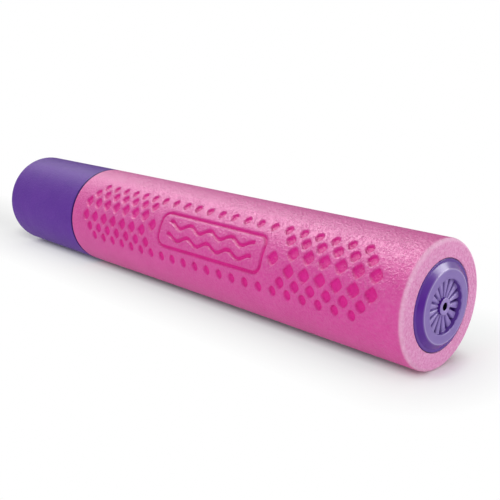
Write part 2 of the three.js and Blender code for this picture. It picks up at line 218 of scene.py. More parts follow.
lone_depths = diamond_distance(np.array(LONE_SETBACKS), np.zeros(len(LONE_SETBACKS)))
print("distance in the middle of the lone diamonds:", lone_depths / MM, "mm")

# %% [markdown]
# The middle of the pattern holds a plain water sign: two wavy lines in a rounded frame, pressed by the same
# die. A line's distance is the distance to its middle, less half its width. For the frame that middle is a
# rectangle with round corners, and for a wave it is a cosine.

# %% Distance to the water sign
SIGN_SETBACK = 123 * MM
FRAME_HALF_LENGTH = 40 * MM
FRAME_HALF_WIDTH = 9.6 * MM
FRAME_CORNER = 5 * MM
FRAME_LINE_HALF = 0.9 * MM
WAVE_HALF_LENGTH = 32 * MM
WAVE_ARC = 3.5 * MM
WAVE_HEIGHT = 1.5 * MM
WAVE_PITCH = 16 * MM
WAVE_LINE_HALF = 1.15 * MM


def frame_distance(setback, arc):
    beside = np.abs(setback - SIGN_SETBACK) - FRAME_HALF_LENGTH + FRAME_CORNER
    above = np.abs(arc) - FRAME_HALF_WIDTH + FRAME_CORNER
    outside = np.hypot(np.maximum(beside, 0), np.maximum(above, 0))
    middle_line = outside + np.minimum(np.maximum(beside, above), 0) - FRAME_CORNER
    return np.abs(middle_line) - FRAME_LINE_HALF


def wave_distance(setback, arc):
    along = setback - SIGN_SETBACK
    crest = WAVE_HEIGHT * np.cos(2 * math.pi * along / WAVE_PITCH)
    beyond = np.maximum(np.abs(along) - WAVE_HALF_LENGTH, 0)
    lines = [np.abs(arc - centre - crest) for centre in (-WAVE_ARC, WAVE_ARC)]
    return np.hypot(np.minimum(*lines), beyond) - WAVE_LINE_HALF


print(f"water sign {2 * FRAME_HALF_LENGTH / MM:.0f} mm long, {2 * FRAME_HALF_WIDTH / MM:.1f} mm wide")

# %% [markdown]
# The nearest of all these distances decides whether a point of the sleeve is pressed. Both patterned sides
# are searched, and only the points near a pattern, which saves most of the time. A probe in the middle of a
# lone diamond follows the next steps, to show what each of them makes of it.

# %% Distance to the nearest pressed edge
PATTERN_REACH = 24 * MM


def pressed_distance(station, turn):
    """Distance in metres to the nearest pressed edge on the sleeve, negative inside a pit."""
    setback = SLEEVE_FRONT - station
    nearest = np.full(station.shape, FAR_OFF)
    for centre in PATTERN_ANGLES:
        arc = FOAM_R * ((turn - centre + math.pi) % (2 * math.pi) - math.pi)
        near = np.abs(arc) < PATTERN_REACH
        found = np.full(station.shape, FAR_OFF)
        spot = (setback[near], arc[near])
        shapes = (diamond_distance, frame_distance, wave_distance)
        found[near] = np.minimum.reduce([distance(*spot) for distance in shapes])
        nearest = np.minimum(nearest, found)
    return nearest


probe_place = (SLEEVE_FRONT - LONE_SETBACKS[0], FOAM_R, PATTERN_ANGLES[0])
probe = [np.array([value]) for value in probe_place]
print("distance at the probe:", pressed_distance(probe[0], probe[2]) / MM, "mm")

# %% [markdown]
# The foam isn't a perfect cylinder. It sinks a little round each pit, where the die pulled it down, and its
# skin waves very slightly. A displace modifier could do this with a texture, but the distances are at hand,
# so plain functions move the points. The skin starts a little inside the solid, so that no wave leaves its
# box, and the shaping fades out towards the bore.

# %% Press the foam's skin
SKIN_INSET = 0.12 * MM
SKIN_TOP = 0.2 * MM
SLEEVE_FADE = 2 * MM
WAVE_SWING = 0.06 * MM
SKIN_WAVES = [(37 * MM, 2, 0.0), (61 * MM, -3, 1.3)]
PRESS_DEPTH = 1.15 * MM
PIT_SLOPE = (-0.45 * MM, 0.2 * MM)
SINK_DEPTH = 0.12 * MM
SINK_REACH = 0.8 * MM


def smoothstep(low, high, value):
    t = np.clip((value - low) / (high - low), 0, 1)
    return t * t * (3 - 2 * t)


def skin_share(radius, fade):
    """1 on the foam's outer skin, falling to 0 over the fade towards the axis."""
    return smoothstep(FOAM_R - fade, FOAM_R - SKIN_TOP, radius)


def skin_wave(station, turn):
    waves = [np.sin(station / stretch + count * turn + phase) for stretch, count, phase in SKIN_WAVES]
    return WAVE_SWING * sum(waves) - SKIN_INSET


def press_sleeve(station, radius, turn):
    distance = pressed_distance(station, turn)
    pit = PRESS_DEPTH * (1 - smoothstep(*PIT_SLOPE, distance))
    sink = SINK_DEPTH * np.exp(-(np.maximum(distance, 0) / SINK_REACH) ** 2)
    return station, radius + skin_share(radius, SLEEVE_FADE) * (skin_wave(station, turn) - pit - sink)


print("the probe is pressed to a radius of", press_sleeve(*probe)[1] / MM, "mm")

# %% [markdown]
# Marks on the points tell the material where the foam was pressed, where it was cut, where the front rim
# gets a painted highlight along its rounding and where the surface is dull. They could be painted by hand as
# vertex colours. Worked out from the same distances as the shape, they always agree with it.

# %% Mark the sleeve's surfaces
MELT_EDGE = (-0.15 * MM, 0.2 * MM)
MELT_LAYER = 1 * MM
FRONT_CUT = (0.5 * MM, 2.0 * MM)
REAR_CUT = (0.1 * MM, 0.5 * MM)
RIM_SETBACK = 0.8 * MM
RIM_SPREAD = 0.8 * MM
RIM_LAYER = 2 * MM
PIT_DULLNESS = 0.5


def sleeve_marks(station, radius, turn):
    from_front = SLEEVE_FRONT - station
    from_rear = station - SLEEVE_REAR
    melted = 1 - smoothstep(*MELT_EDGE, pressed_distance(station, turn))
    pressed = np.where(radius > FOAM_R - MELT_LAYER, melted, 0)
    # Painted highlight: a pale band along the front rim's rounding, where the edge would catch the light.
    painted_rim_highlight = np.exp(-((from_front - RIM_SETBACK) / RIM_SPREAD) ** 2)
    cut = np.maximum(1 - smoothstep(*FRONT_CUT, from_front), 1 - smoothstep(*REAR_CUT, from_rear))
    return {
        "pressed": pressed,
        "rim": np.where(radius > FOAM_R - RIM_LAYER, painted_rim_highlight, 0),
        "cut": cut,
        "worn": np.maximum(PIT_DULLNESS * pressed, cut),
    }


print("marks at the probe:", {name: float(value[0]) for name, value in sleeve_marks(*probe).items()})

# %% [markdown]
# The sleeve's outline is a long tube with a round edge in front and a crisp one at the rear, where the handle
# meets it. The sampling is fine only along the outer skin and round the two patterned sides, to keep the
# mesh light. The sleeve stays with the barrel.

# %% Make the foam sleeve
BORE_R = TUBE_R + GAP
SAME_RADIUS = 0.1 * MM
FINE_STEP = 0.42 * MM
END_STEP = 1 * MM
BORE_STEP = 40 * MM
PLAIN_STEP = 1.7 * MM
PATTERN_HALF_ARC = 20.5 * MM
FRONT_ROUNDING = 2.2 * MM
REAR_ROUNDING = 0.7 * MM
BORE_ROUNDING = 0.3 * MM


def sleeve_step(radius):
    if radius > FOAM_R - SAME_RADIUS:
        return FINE_STEP
    return END_STEP if radius > BORE_R + SAME_RADIUS else BORE_STEP


sleeve_loop = spaced(
    rounded_loop([
        (SLEEVE_REAR, BORE_R, BORE_ROUNDING),
        (SLEEVE_REAR, FOAM_R, REAR_ROUNDING),
        (SLEEVE_FRONT, FOAM_R, FRONT_ROUNDING),
        (SLEEVE_FRONT, BORE_R, BORE_ROUNDING),
    ]),
    sleeve_step,
)
half_turn = PATTERN_HALF_ARC / FOAM_R
fine_count = round(2 * PATTERN_HALF_ARC / FINE_STEP)
plain_count = round((math.pi * FOAM_R - 2 * PATTERN_HALF_ARC) / PLAIN_STEP)
sleeve_angles = np.concatenate([
    np.concatenate((
        np.linspace(centre - half_turn, centre + half_turn, fine_count, endpoint=False),
        np.linspace(centre + half_turn, centre + math.pi - half_turn, plain_count, endpoint=False),
    ))
    for centre in PATTERN_ANGLES
])
sleeve = turned("pressed_foam_sleeve", sleeve_loop, sleeve_angles, press_sleeve, sleeve_marks)
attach(sleeve, "barrel")
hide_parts("foam_sleeve")

# %% [markdown]
# The handle's grip is a plain foam cylinder of the sleeve's diameter, with the same slight wave in its skin
# but nothing pressed into it. The sleeve's functions do for its shape. A mark holds the front edge, which
# gets painted shade where it meets the sleeve.

# %% Shape and mark the grip's skin
handle_low, handle_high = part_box("handle_grip")
HANDLE_FRONT = handle_high.x
HANDLE_REAR = handle_low.x
GRIP_FADE = 4 * MM
SEAM_START = HANDLE_FRONT - 1.0 * MM
SEAM_END = HANDLE_FRONT - 0.3 * MM


def grip_skin(station, radius, turn):
    return station, radius + skin_share(radius, GRIP_FADE) * skin_wave(station, turn)


def grip_marks(station, radius, turn):
    # Painted shade: the seam mark darkens the front edge next to the sleeve.
    return {"seam": smoothstep(SEAM_START, SEAM_END, station)}


print(f"grip {(HANDLE_FRONT - HANDLE_REAR) / MM:.1f} mm long")

# %% [markdown]
# The grip is moulded with a big round at its rear edge and a small one in front. It is turned from an outline
# like the sleeve's, with the core's flange and the end cap let into its two ends. The turn is even, because
# no side of it needs more points than another.

# %% Make the handle grip
core_low, core_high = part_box("handle_core")
FLANGE_R = (core_high.z - core_low.z) / 2 + GAP
FLANGE_DEPTH = 3.8 * MM
CORE_R = 15.3 * MM
CAP_R = 20.0 * MM
CAP_DEPTH = 3.3 * MM
GRIP_ROUNDING = 9.5 * MM
GRIP_STEP = 1.5 * MM
HIDDEN_STEP = 30 * MM
GRIP_SIDES = 160


def even_turn(count):
    return np.linspace(0, 2 * math.pi, count, endpoint=False)


grip_loop = spaced(
    rounded_loop([
        (HANDLE_FRONT, FLANGE_R, 0.4 * MM),
        (HANDLE_FRONT, FOAM_R, 0.9 * MM),
        (HANDLE_REAR, FOAM_R, GRIP_ROUNDING),
        (HANDLE_REAR, CAP_R + GAP, 0.4 * MM),
        (HANDLE_REAR + CAP_DEPTH, CAP_R + GAP, 0.0),
        (HANDLE_REAR + CAP_DEPTH, CORE_R, 0.0),
        (HANDLE_FRONT - FLANGE_DEPTH, CORE_R, 0.0),
        (HANDLE_FRONT - FLANGE_DEPTH, FLANGE_R, 0.0),
    ], steps=12),
    lambda radius: GRIP_STEP if radius > CAP_R else HIDDEN_STEP,
)
grip = turned("satin_foam_grip", grip_loop, even_turn(GRIP_SIDES), grip_skin, grip_marks)
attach(grip, "plunger")
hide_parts("handle_grip")

# %% [markdown]
# The nozzle is one moulding. A polished wall slopes from its rim up to a flat ring, and inside the ring a
# recess holds wedge-shaped fins round a hub with the water's orifice. Separate wedges could be joined to it,
# but their faces would overlap. Instead the fins are lifted out of the recess floor: between two slots the
# floor rises to the fin's crowned top, and the hub's and recess's walls are squeezed up with it.

# %% Lift the nozzle's fins
NOZZLE_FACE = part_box("nozzle")[1].x
FACE_R = 16.8 * MM
RECESS_R = 12.4 * MM
RECESS_FLOOR = NOZZLE_FACE - 4.8 * MM
HUB_R = 3.9 * MM
HUB_TOP = NOZZLE_FACE - 0.6 * MM
FIN_COUNT = 16
FIN_TOP_OUTER = NOZZLE_FACE - 2.0 * MM
FIN_TOP_INNER = NOZZLE_FACE - 1.6 * MM
FIN_FLANK = (-0.12 * MM, 0.22 * MM)
FIN_CROWN = 0.35 * MM
CROWN_REACH = 0.9 * MM
SLOT_HALF_INNER = 0.24 * MM
SLOT_HALF_OUTER = 0.58 * MM
SLOT_RISE = 2.5 * MM
HAIR = 0.01 * MM


def raise_fins(station, radius, turn):
    share = np.clip((radius - HUB_R) / (RECESS_R - HUB_R), 0, 1)
    pitch = 2 * math.pi / FIN_COUNT
    from_fin_middle = np.abs((turn / pitch) % 1 - 0.5) * pitch
    from_slot_middle = radius * (pitch / 2 - from_fin_middle)
    from_slot = from_slot_middle - (SLOT_HALF_INNER + share * (SLOT_HALF_OUTER - SLOT_HALF_INNER))
    crown = FIN_CROWN * smoothstep(0, CROWN_REACH, from_slot)
    top = FIN_TOP_INNER + share * (FIN_TOP_OUTER - FIN_TOP_INNER) - FIN_CROWN + crown
    slot_floor = RECESS_FLOOR + (1 - share) * SLOT_RISE
    surface = slot_floor + smoothstep(*FIN_FLANK, from_slot) * (top - slot_floor)
    brim = np.where(radius < (HUB_R + RECESS_R) / 2, HUB_TOP, NOZZLE_FACE)
    in_ring = (radius > HUB_R - HAIR) & (radius < RECESS_R + HAIR)
    in_recess = in_ring & (station > RECESS_FLOOR - HAIR)
    lifted = surface + (station - RECESS_FLOOR) * (brim - surface) / (brim - RECESS_FLOOR)
    return np.where(in_recess, lifted, station), radius


print(f"{FIN_COUNT} fins in a recess {2 * RECESS_R / MM:.1f} mm across")

# %% [markdown]
# The nozzle's front is satin, its wall and the recess's walls are polished, and the orifice is painted dark
# as shade. Separate materials would need the faces split where they meet. Marks let one material fade from
# one surface to the next. The satin mark gives the front a paler colour, which is painted light, and lets it
# fade down the slots and off the recess's and hub's walls, so these are darker as painted shade. The fins'
# tops are paler as painted light, and the ring's edge carries a painted highlight.

# %% Mark the nozzle's surfaces
ORIFICE_R = 1.8 * MM
SATIN_EDGE = (FACE_R - 0.5 * MM, FACE_R + 0.1 * MM)
SLOT_DEPTHS = (NOZZLE_FACE - 3.4 * MM, NOZZLE_FACE - 2.5 * MM)
SLOT_SATIN_AND_SHADE = 0.4
# Depths over which the fins' tops are painted paler, as painted light.
LIT_FIN_TOPS = (NOZZLE_FACE - 3 * MM, NOZZLE_FACE - 2.2 * MM)
FIN_REACH = RECESS_R + 0.05 * MM
RECESS_LIP = NOZZLE_FACE - 0.6 * MM
HUB_LIP = HUB_TOP - 0.5 * MM
ORIFICE_LIP = HUB_TOP - 0.3 * MM
RECESS_WALL_POLISH_AND_SHADE = 0.8
# Where the ring's outer edge gets a painted highlight.
EDGE_R = FACE_R - 0.15 * MM
EDGE_SPREAD = 0.3 * MM
EDGE_BACK = NOZZLE_FACE - 0.8 * MM


def nozzle_marks(station, radius, turn):
    lifted = raise_fins(station, radius, turn)[0]
    inside = 1 - smoothstep(*SATIN_EDGE, radius)
    # Painted shade: the front's paler colour fades down the slots, so deeper slots are darker.
    lit_by_depth = SLOT_SATIN_AND_SHADE + (1 - SLOT_SATIN_AND_SHADE) * smoothstep(*SLOT_DEPTHS, lifted)
    lit_by_depth *= lifted > RECESS_FLOOR - HAIR
    above_floor = station > RECESS_FLOOR + HAIR
    # The recess's and hub's walls lose the front's paler colour, as painted shade.
    recess_wall = above_floor & (np.abs(radius - RECESS_R) < SAME_RADIUS) & (station < RECESS_LIP)
    hub_wall = above_floor & (np.abs(radius - HUB_R) < SAME_RADIUS) & (station < HUB_LIP)
    # Painted shade: the orifice's bore is coloured dark, as if unlit.
    bore = (radius < ORIFICE_R + SAME_RADIUS) & (station < ORIFICE_LIP)
    return {
        # satin: the satin finish, with painted light on the front and painted shade in the slots and on the
        # walls.
        "satin": inside * lit_by_depth * (1 - RECESS_WALL_POLISH_AND_SHADE * recess_wall) * ~(hub_wall | bore),
        # edge: a painted highlight along the ring's rounded edge.
        "edge": np.exp(-((radius - EDGE_R) / EDGE_SPREAD) ** 2) * (station > EDGE_BACK),
        # fins: painted light on the fins' tops.
        "fins": (radius < FIN_REACH) * smoothstep(*LIT_FIN_TOPS, lifted),
        "bore": bore.astype(float),
    }


ring_face = [np.array([value]) for value in (NOZZLE_FACE, (RECESS_R + FACE_R) / 2, 0.0)]
print("marks on the ring:", {name: float(value[0]) for name, value in nozzle_marks(*ring_face).items()})

# %% [markdown]
# The nozzle's outline runs from the hub out over the recess and the ring, down the sloping wall to the rim,
# and back through the skirt in the pump's tube and the cone behind the orifice. Each fin gets enough sides
# to draw its flanks, so the orifice and the rim come out round as well.

# %% Make the nozzle
RIM_BACK = SLEEVE_FRONT - 2.4 * MM
RIM_WIDTH = 1.4 * MM
SKIRT_END = RIM_BACK - 18 * MM
SKIRT_R = TUBE_R - 2.7 * MM
CHAMBER_R = SKIRT_R - 4.2 * MM
CONE_WIDE_END = RECESS_FLOOR - 8.6 * MM
CONE_NARROW_END = RECESS_FLOOR - 4.3 * MM
FRONT_STEP = 0.3 * MM
WALL_STEP = 0.6 * MM
SIDES_PER_FIN = 24

nozzle_loop = spaced(
    rounded_loop([
        (HUB_TOP, ORIFICE_R, 0.35 * MM),
        (HUB_TOP, HUB_R, 0.45 * MM),
        (RECESS_FLOOR, HUB_R, 0.0),
        (RECESS_FLOOR, RECESS_R, 0.0),
        (NOZZLE_FACE, RECESS_R, 0.5 * MM),
        (NOZZLE_FACE, FACE_R, 0.55 * MM),
        (SLEEVE_FRONT, TUBE_R - RIM_WIDTH, 0.3 * MM),
        (SLEEVE_FRONT, TUBE_R, 0.25 * MM),
        (RIM_BACK, TUBE_R, 0.2 * MM),
        (RIM_BACK, SKIRT_R, 0.0),
        (SKIRT_END, SKIRT_R, 0.4 * MM),
        (SKIRT_END, CHAMBER_R, 0.4 * MM),
        (CONE_WIDE_END, CHAMBER_R, 0.0),
        (CONE_NARROW_END, ORIFICE_R, 0.0),
    ], steps=5),
    lambda radius: FRONT_STEP if radius < FACE_R else WALL_STEP,
)
nozzle_turn = even_turn(SIDES_PER_FIN * FIN_COUNT)
nozzle = turned("finned_nozzle", nozzle_loop, nozzle_turn, raise_fins, nozzle_marks)
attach(nozzle, "barrel")
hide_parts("nozzle")

# %% [markdown]
# The plunger's rod shows when it is drawn. Its solid has flat facets, which would glint one by one, so it is
# turned again with many more sides and with small edge rounds.

# %% Make the plunger rod
rod_low, rod_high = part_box("plunger_rod")
ROD_R = (rod_high.y - rod_low.y) / 2
ROD_BORE_R = 9.2 * MM
ROD_ROUNDING = 0.3 * MM
ROD_STEP = 20 * MM
ROD_SIDES = 96
rod_loop = spaced(
    rounded_loop([
        (rod_low.x, ROD_BORE_R, ROD_ROUNDING),
        (rod_low.x, ROD_R, ROD_ROUNDING),
        (rod_high.x, ROD_R, ROD_ROUNDING),
        (rod_high.x, ROD_BORE_R, ROD_ROUNDING),
    ]),
    lambda radius: ROD_STEP,
)
rod = turned("smooth_plunger_rod", rod_loop, even_turn(ROD_SIDES))
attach(rod, "plunger")
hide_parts("plunger_rod")

# %% [markdown]
# The end cap closes the handle's rear end: a disc let into the foam, with a shallow groove round its face and
# a stem into the core. It is turned in the same way. Its outline ends on the axis, where the points weld.

# %% Make the end cap
cap_low, cap_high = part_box("handle_end_cap")
CAP_FRONT = cap_low.x + 3 * MM
STEM_R = 8.9 * MM
GROOVE_R = CAP_R - 3.8 * MM
GROOVE_HALF_TOP = 0.8 * MM
GROOVE_HALF_FLOOR = 0.4 * MM
GROOVE_FLOOR = cap_low.x + 0.5 * MM
CAP_STEP = 2 * MM
CAP_SIDES = 128
cap_loop = spaced(
    rounded_loop([
        (cap_low.x, 0.0, 0.0),
        (cap_low.x, GROOVE_R - GROOVE_HALF_TOP, 0.3 * MM),
        (GROOVE_FLOOR, GROOVE_R - GROOVE_HALF_FLOOR, 0.2 * MM),
        (GROOVE_FLOOR, GROOVE_R + GROOVE_HALF_FLOOR, 0.2 * MM),
        (cap_low.x, GROOVE_R + GROOVE_HALF_TOP, 0.3 * MM),
        (cap_low.x, CAP_R, 0.6 * MM),
        (CAP_FRONT, CAP_R, 0.3 * MM),
        (CAP_FRONT, STEM_R, 0.0),
        (cap_high.x, STEM_R, 0.6 * MM),
        (cap_high.x, 0.0, 0.0),
    ]),
    lambda radius: CAP_STEP,
)
cap = turned("grooved_end_cap", cap_loop, even_turn(CAP_SIDES))
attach(cap, "plunger")
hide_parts("handle_end_cap")

# %% [markdown]
# Materials come next. Blender works in linear light, while colours are easiest to judge as they look on a
# screen. They are written in that way here, and one function turns them into linear light.

# %% Colour helper
def seen(red, green, blue):
    """A screen colour from 0 to 255 as linear light, by the sRGB curve, with full alpha."""
    def linear(value):
        share = value / 255
        return share / 12.92 if share <= 0.04045 else ((share + 0.055) / 1.055) ** 2.4
    return (linear(red), linear(green), linear(blue), 1.0)


print("a middle grey of 128 is", round(seen(128, 128, 128)[0], 3), "in linear light")

# %% [markdown]
# A material is a tree of nodes. Made call by call it soon gets hard to read, so a few helpers add a node, set
# its plain inputs and link the others. With them each finish reads from top to bottom.

# %% Node helpers
UNIT = (0.0, 1.0)


def feed(tree, node, inputs):
    """Link the inputs that are given as sockets, and set the others."""
    for name, value in inputs.items():
        if isinstance(value, bpy.types.NodeSocket):
            tree.links.new(value, node.inputs[name])
        else:
            node.inputs[name].default_value = value


def add_node(tree, kind, settings=None, inputs=None):
    made = tree.nodes.new(kind)
    for name, value in (settings or {}).items():
        setattr(made, name, value)
    feed(tree, made, inputs or {})
    return made


def computed(tree, operation, first, second):
    return add_node(tree, "ShaderNodeMath", {"operation": operation}, {0: first, 1: second}).outputs[0]


def ranged(tree, value, given, wanted=UNIT):
    """The value with its given range stretched to the wanted one, and held at the ends."""
    node = add_node(tree, "ShaderNodeMapRange", inputs={
        "Value": value,
        "From Min": given[0],
        "From Max": given[1],
        "To Min": wanted[0],
        "To Max": wanted[1],
    })
    return node.outputs["Result"]


print("node helpers:", ", ".join(helper.__name__ for helper in (feed, add_node, computed, ranged)))

# %% [markdown]
# Colours are mixed by masks: one colour where the mask is 0, another where it is 1. The mix node has its
# sockets once for each kind of data, under the same names, so its colour sockets are picked by number.

# %% Colour mixing helpers
MIX_FACTOR = 0
MIX_FIRST = 6
MIX_SECOND = 7
MIX_RESULT = 2


def mixed(tree, factor, first, second):
    sockets = {MIX_FACTOR: factor, MIX_FIRST: first, MIX_SECOND: second}
    return add_node(tree, "ShaderNodeMix", {"data_type": "RGBA"}, sockets).outputs[MIX_RESULT]


def tinted(tree, base, mask, share, colour):
    """The base colour with another one mixed in by a share of the mask."""
    return mixed(tree, computed(tree, "MULTIPLY", mask, share), base, colour)


print("colour helpers:", ", ".join(helper.__name__ for helper in (mixed, tinted)))

# %% [markdown]
# Some effects show on more than one finish. Each of them is a node group, built once and placed in every
# finish with values of its own. Their textures are read in the object's own coordinates, so that the grain
# stays on a piece when it moves.

# %% Group and noise helpers
def new_group(name, inputs, outputs):
    group = bpy.data.node_groups.new(name, "ShaderNodeTree")
    for socket_name, value in inputs.items():
        socket = group.interface.new_socket(socket_name, in_out="INPUT", socket_type="NodeSocketFloat")
        socket.default_value = value
    for socket_name in outputs:
        group.interface.new_socket(socket_name, in_out="OUTPUT", socket_type="NodeSocketFloat")
    print("node group", name, "gives", ", ".join(outputs))
    return group, group.nodes.new("NodeGroupInput"), group.nodes.new("NodeGroupOutput")


def own_place(tree):
    return add_node(tree, "ShaderNodeTexCoord").outputs["Object"]


def noise(tree, place, scale, detail, roughness=0.5):
    found = add_node(tree, "ShaderNodeTexNoise", inputs={
        "Vector": place, "Scale": scale, "Detail": detail, "Roughness": roughness})
    return found.outputs[0]


print("group helpers:", ", ".join(helper.__name__ for helper in (new_group, own_place, noise)))

# %% [markdown]
# Closed-cell foam shows its cells: a fine speckle where cells are cut, a soft mottle where the blowing was
# uneven, and a pebbled skin. Both foam pieces use it at their own cell size, so it is a node group. Voronoi
# domes give the cells, fine noise the speckle and broad noise the mottle.

# %% Group for foam cells
FLECKS_PER_CELL = 0.9
CLOUDS_PER_CELL = 0.09
FLECK_RANGE = (0.34, 0.66)
CLOUD_RANGE = (0.32, 0.68)
DOME_RANGE = (0.0, 0.8)

foam_cells, group_in, group_out = new_group(
    "Foam cells", {"Cells per metre": 1400.0}, ["Speckle", "Mottle", "Height"])
place = own_place(foam_cells)
cell_scale = group_in.outputs["Cells per metre"]
fleck_scale = computed(foam_cells, "MULTIPLY", cell_scale, FLECKS_PER_CELL)
cloud_scale = computed(foam_cells, "MULTIPLY", cell_scale, CLOUDS_PER_CELL)
domes = add_node(foam_cells, "ShaderNodeTexVoronoi", inputs={"Vector": place, "Scale": cell_scale})
flecks = noise(foam_cells, place, fleck_scale, detail=3.0, roughness=0.65)
clouds = noise(foam_cells, place, cloud_scale, detail=4.0, roughness=0.6)
speckle = ranged(foam_cells, flecks, FLECK_RANGE)
dome_height = ranged(foam_cells, domes.outputs["Distance"], DOME_RANGE, (1.0, 0.0))
feed(foam_cells, group_out, {
    "Speckle": speckle,
    "Mottle": ranged(foam_cells, clouds, CLOUD_RANGE),
    "Height": computed(foam_cells, "MULTIPLY", dome_height, speckle),
})

# %% [markdown]
# Moulded and extruded plastic is never one even gloss. Handling leaves a faint haze and the mould a very fine
# orange-peel. This group gives both, and every plastic, rubber and metal piece uses it at its own strength.

# %% Group for moulded skin
HAZE_RANGE = (0.3, 0.7)

moulded_skin, group_in, group_out = new_group(
    "Moulded skin", {"Peel per metre": 900.0, "Haze per metre": 90.0}, ["Haze", "Peel"])
place = own_place(moulded_skin)
haze = noise(moulded_skin, place, group_in.outputs["Haze per metre"], detail=5.0, roughness=0.55)
feed(moulded_skin, group_out, {
    "Haze": ranged(moulded_skin, haze, HAZE_RANGE),
    "Peel": noise(moulded_skin, place, group_in.outputs["Peel per metre"], detail=2.0),
})

# %% [markdown]
# Every finish starts from the Principled shader of a new material. It places a group, reads the marks that
# were left on the mesh, and turns a height into bump. Those four steps get a helper each.

# %% Finish helpers
def new_finish(name):
    finish = bpy.data.materials.new(name)
    finish.use_nodes = True
    shader = finish.node_tree.nodes["Principled BSDF"]
    print("finish", name)
    return finish, finish.node_tree, shader


def use_group(tree, group, values):
    return add_node(tree, "ShaderNodeGroup", {"node_tree": group}, values)


def mark(tree, name):
    return add_node(tree, "ShaderNodeAttribute", {"attribute_name": name}).outputs["Fac"]


def bumped(tree, height, strength, depth):
    bump = add_node(tree, "ShaderNodeBump", inputs={
        "Strength": strength, "Distance": depth, "Height": height})
    return bump.outputs[0]


print("finish helpers:", ", ".join(helper.__name__ for helper in (new_finish, use_group, mark, bumped)))

# %% [markdown]
# The sleeve's pink foam is pale where light scatters in its cells and deep pink in the pits, where the hot
# die melted the cells into a skin. The cut ends are paler still, and the front rim is palest: a painted
# highlight along its rounding. The marks on the mesh pick these places, and the cell group breaks up each
# colour. Pits and cut ends are rougher, so they shine less than the skin.

# %% Pink foam
SKIN_PINKS = (seen(204, 40, 143), seen(210, 54, 151))
FLECK_PINK = seen(219, 128, 182)
CUT_PINKS = (seen(215, 110, 174), seen(221, 126, 186))
CUT_FLECK_PINK = seen(242, 178, 218)
# The rim's colour is a painted highlight.
RIM_HIGHLIGHT_PINK = seen(240, 198, 222)
MELTED_PINKS = (seen(208, 2, 134), seen(216, 12, 144))
PINK_GLOSS = (0.48, 0.6)
WORN_DULLNESS = 0.25

pink_foam, tree, shader = new_finish("pink_foam")
cells = use_group(tree, foam_cells, {"Cells per metre": 820.0})
speckle = cells.outputs["Speckle"]
mottle = cells.outputs["Mottle"]
skin = tinted(tree, mixed(tree, mottle, *SKIN_PINKS), speckle, share=0.3, colour=FLECK_PINK)
cut = tinted(tree, mixed(tree, mottle, *CUT_PINKS), speckle, share=0.75, colour=CUT_FLECK_PINK)
skin = mixed(tree, mark(tree, "cut"), skin, cut)
# The rim mark mixes in the painted highlight.
skin = tinted(tree, skin, mark(tree, "rim"), share=0.45, colour=RIM_HIGHLIGHT_PINK)
skin = mixed(tree, mark(tree, "pressed"), skin, mixed(tree, mottle, *MELTED_PINKS))
dulled = computed(tree, "MULTIPLY", mark(tree, "worn"), WORN_DULLNESS)
feed(tree, shader, {
    "Base Color": skin,
    "Roughness": computed(tree, "ADD", ranged(tree, speckle, UNIT, PINK_GLOSS), dulled),
    "Normal": bumped(tree, cells.outputs["Height"], strength=0.9, depth=0.42 * MM),
    "Specular IOR Level": 0.65,
})
sleeve.data.materials.append(pink_foam)

# %% [markdown]
# The grip's purple foam has a closed, ironed skin: much smoother than the sleeve, with a satin shine and very
# faint rings round it from the mould. The rings are noise that is stretched round the axis by squeezing its
# two cross coordinates. The seam mark paints shade on the front edge, where it meets the sleeve.

# %% Purple foam
SKIN_PURPLES = (seen(84, 30, 144), seen(92, 38, 150))
RING_PURPLE = seen(102, 58, 153)
FLECK_PURPLE = seen(118, 76, 168)
# A dark purple, painted as shade on the front edge.
SEAM_SHADE_PURPLE = seen(44, 14, 92)
PURPLE_GLOSS = (0.5, 0.6)
RING_SQUEEZE = (420.0, 14.0, 14.0)
RING_RANGE = (0.3, 0.7)

purple_foam, tree, shader = new_finish("purple_foam")
cells = use_group(tree, foam_cells, {"Cells per metre": 1000.0})
squeezed = add_node(tree, "ShaderNodeMapping", inputs={"Vector": own_place(tree), "Scale": RING_SQUEEZE})
rings = ranged(tree, noise(tree, squeezed.outputs[0], 1.0, detail=4.0), RING_RANGE)
skin = mixed(tree, cells.outputs["Mottle"], *SKIN_PURPLES)
skin = tinted(tree, skin, rings, share=0.25, colour=RING_PURPLE)
skin = tinted(tree, skin, cells.outputs["Speckle"], share=0.12, colour=FLECK_PURPLE)
feed(tree, shader, {
    # Painted shade on the front edge, by the seam mark.
    "Base Color": mixed(tree, mark(tree, "seam"), skin, SEAM_SHADE_PURPLE),
    "Roughness": ranged(tree, rings, UNIT, PURPLE_GLOSS),
    "Normal": bumped(tree, cells.outputs["Height"], strength=0.45, depth=0.3 * MM),
    "Specular IOR Level": 0.2,
})
grip.data.materials.append(purple_foam)

# %% [markdown]
# The nozzle's plastic is polished on the sloping wall and satin on the front, where the mould was blasted.
# The front's paler colour is painted light, the fins' tops are paler still as painted light, and the ring's
# edge is palest, a painted highlight. The orifice is painted dark as shade. One material holds all of it,
# blended by the marks on the mesh, because the real piece is one moulding.

# %% Nozzle plastic
WALL_PURPLES = (seen(80, 22, 140), seen(88, 28, 148))
# The orifice's dark colour is painted shade.
BORE_SHADE_PURPLE = seen(14, 8, 30)
# The front's paler colours are painted light.
LIT_FACE_PURPLES = (seen(126, 100, 174), seen(136, 111, 182))
# The fins' paler colour is painted light.
FIN_LIT_PURPLE = seen(152, 128, 196)
# A painted highlight for the ring's edge.
EDGE_HIGHLIGHT_PURPLE = seen(182, 164, 214)
NOZZLE_GLOSS = (0.27, 0.42)

nozzle_plastic, tree, shader = new_finish("nozzle_plastic")
surface = use_group(tree, moulded_skin, {"Peel per metre": 900.0, "Haze per metre": 120.0})
wall = mixed(tree, surface.outputs["Haze"], *WALL_PURPLES)
# The bore mark paints the orifice's shade.
wall = mixed(tree, mark(tree, "bore"), wall, BORE_SHADE_PURPLE)
